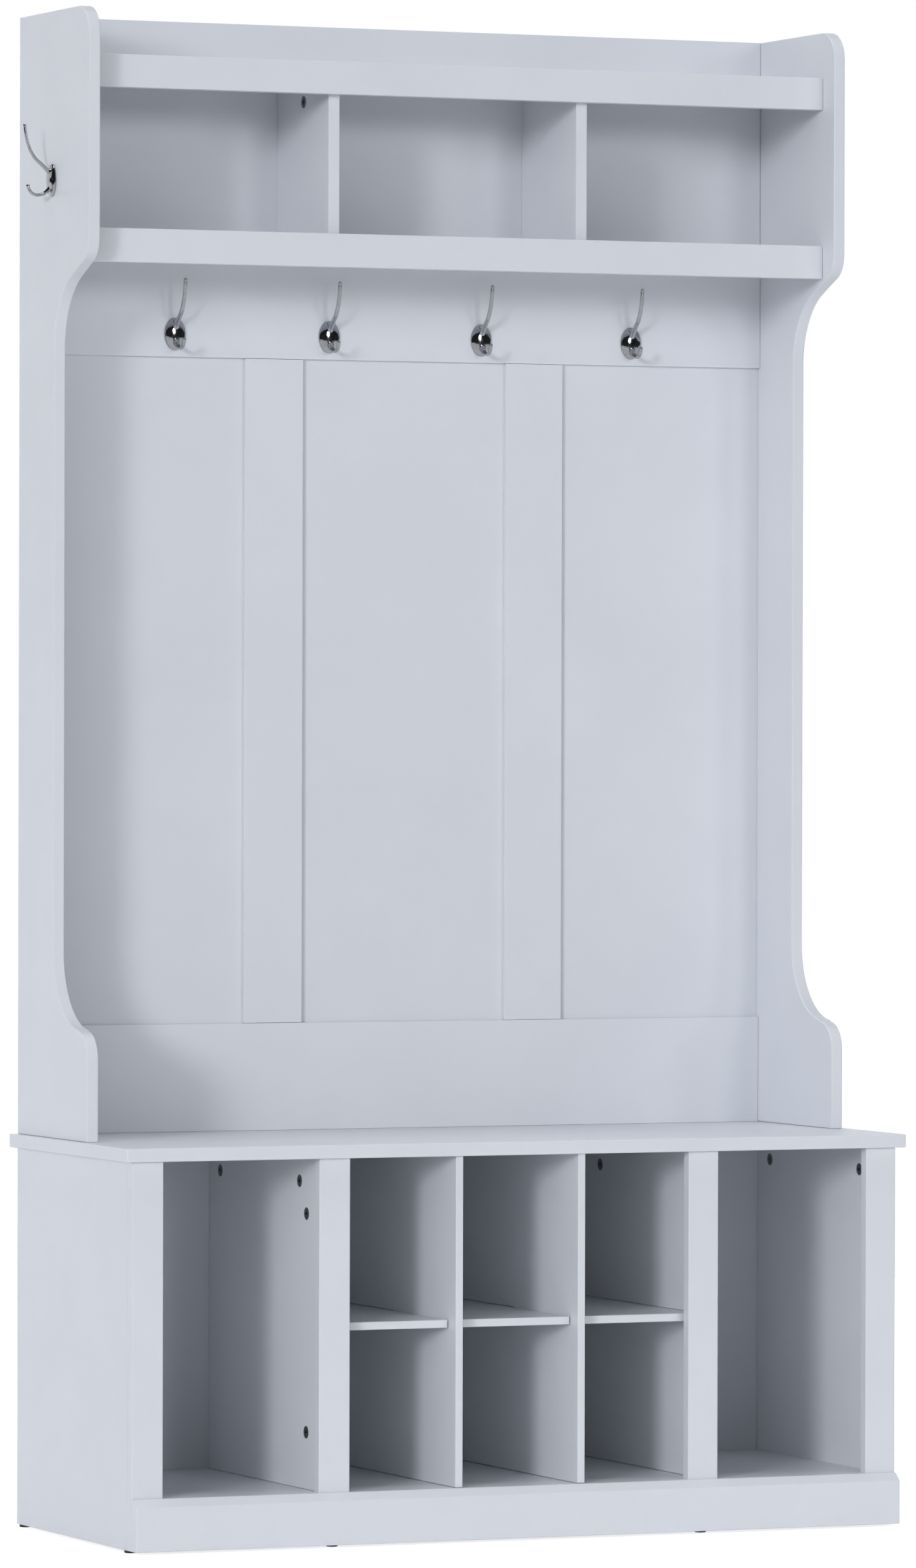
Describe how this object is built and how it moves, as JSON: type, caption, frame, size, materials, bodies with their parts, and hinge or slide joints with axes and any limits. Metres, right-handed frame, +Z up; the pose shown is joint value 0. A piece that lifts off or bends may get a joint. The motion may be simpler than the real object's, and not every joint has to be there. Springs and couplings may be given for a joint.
{
  "type": "hall tree",
  "caption": "Tall hall tree: open cubby bench below, framed back with coat hooks, scalloped side panels and two shelves with cubbies on top.",
  "frame": {"origin": "bottom centre of the bounding box, on the floor midway between the plinth front and the back edges", "axes": "+Z up, the open front faces -Y, +X to the right seen from the front"},
  "size_m": [1.076, 0.4, 1.835],
  "materials": {
    "white_board": "satin melamine-faced board",
    "white_thin_board": "satin lacquered thin fibreboard",
    "hook_chrome": "polished",
    "screw_steel": "zinc plated",
    "screw_black": "blackened",
    "cam_zinc": "dark die-cast zinc",
    "dowel_wood": "plain beech",
    "glide_plastic": "moulded"
  },
  "bodies": {
    "root": {"back_panel_left": "white_thin_board", "back_panel_middle": "white_thin_board", "back_panel_right": "white_thin_board", "back_stile_left": "white_board", "back_stile_right": "white_board", "base_back_panel": "white_thin_board", "base_bottom_panel": "white_board", "base_divider_left": "white_board", "base_divider_right": "white_board", "base_side_left": "white_board", "base_side_right": "white_board", "bench_top": "white_board", "board_screws": "screw_steel", "bottom_rail": "white_board", "cam_bolts": "screw_steel", "cam_locks": "cam_zinc", "coat_hook_1": "hook_chrome", "coat_hook_2": "hook_chrome", "coat_hook_3": "hook_chrome", "coat_hook_4": "hook_chrome", "cubby_partition_left": "white_board", "cubby_partition_right": "white_board", "cubby_shelf": "white_board", "dowels_6mm": "dowel_wood", "dowels_8mm": "dowel_wood", "glide_feet": "glide_plastic", "hook_rail": "white_board", "hook_screws": "screw_black", "lower_apron": "white_board", "lower_shelf": "white_board", "plinth_front": "white_board", "plinth_screws": "screw_steel", "side_hook_left": "hook_chrome", "side_hook_right": "hook_chrome", "side_panel_left": "white_board", "side_panel_right": "white_board", "stile_inner_left": "white_board", "stile_inner_right": "white_board", "stile_outer_left": "white_board", "stile_outer_right": "white_board", "top_apron": "white_board", "top_shelf": "white_board", "upper_back_board": "white_board", "upper_divider_left": "white_board", "upper_divider_right": "white_board"}
  },
  "joints": []
}
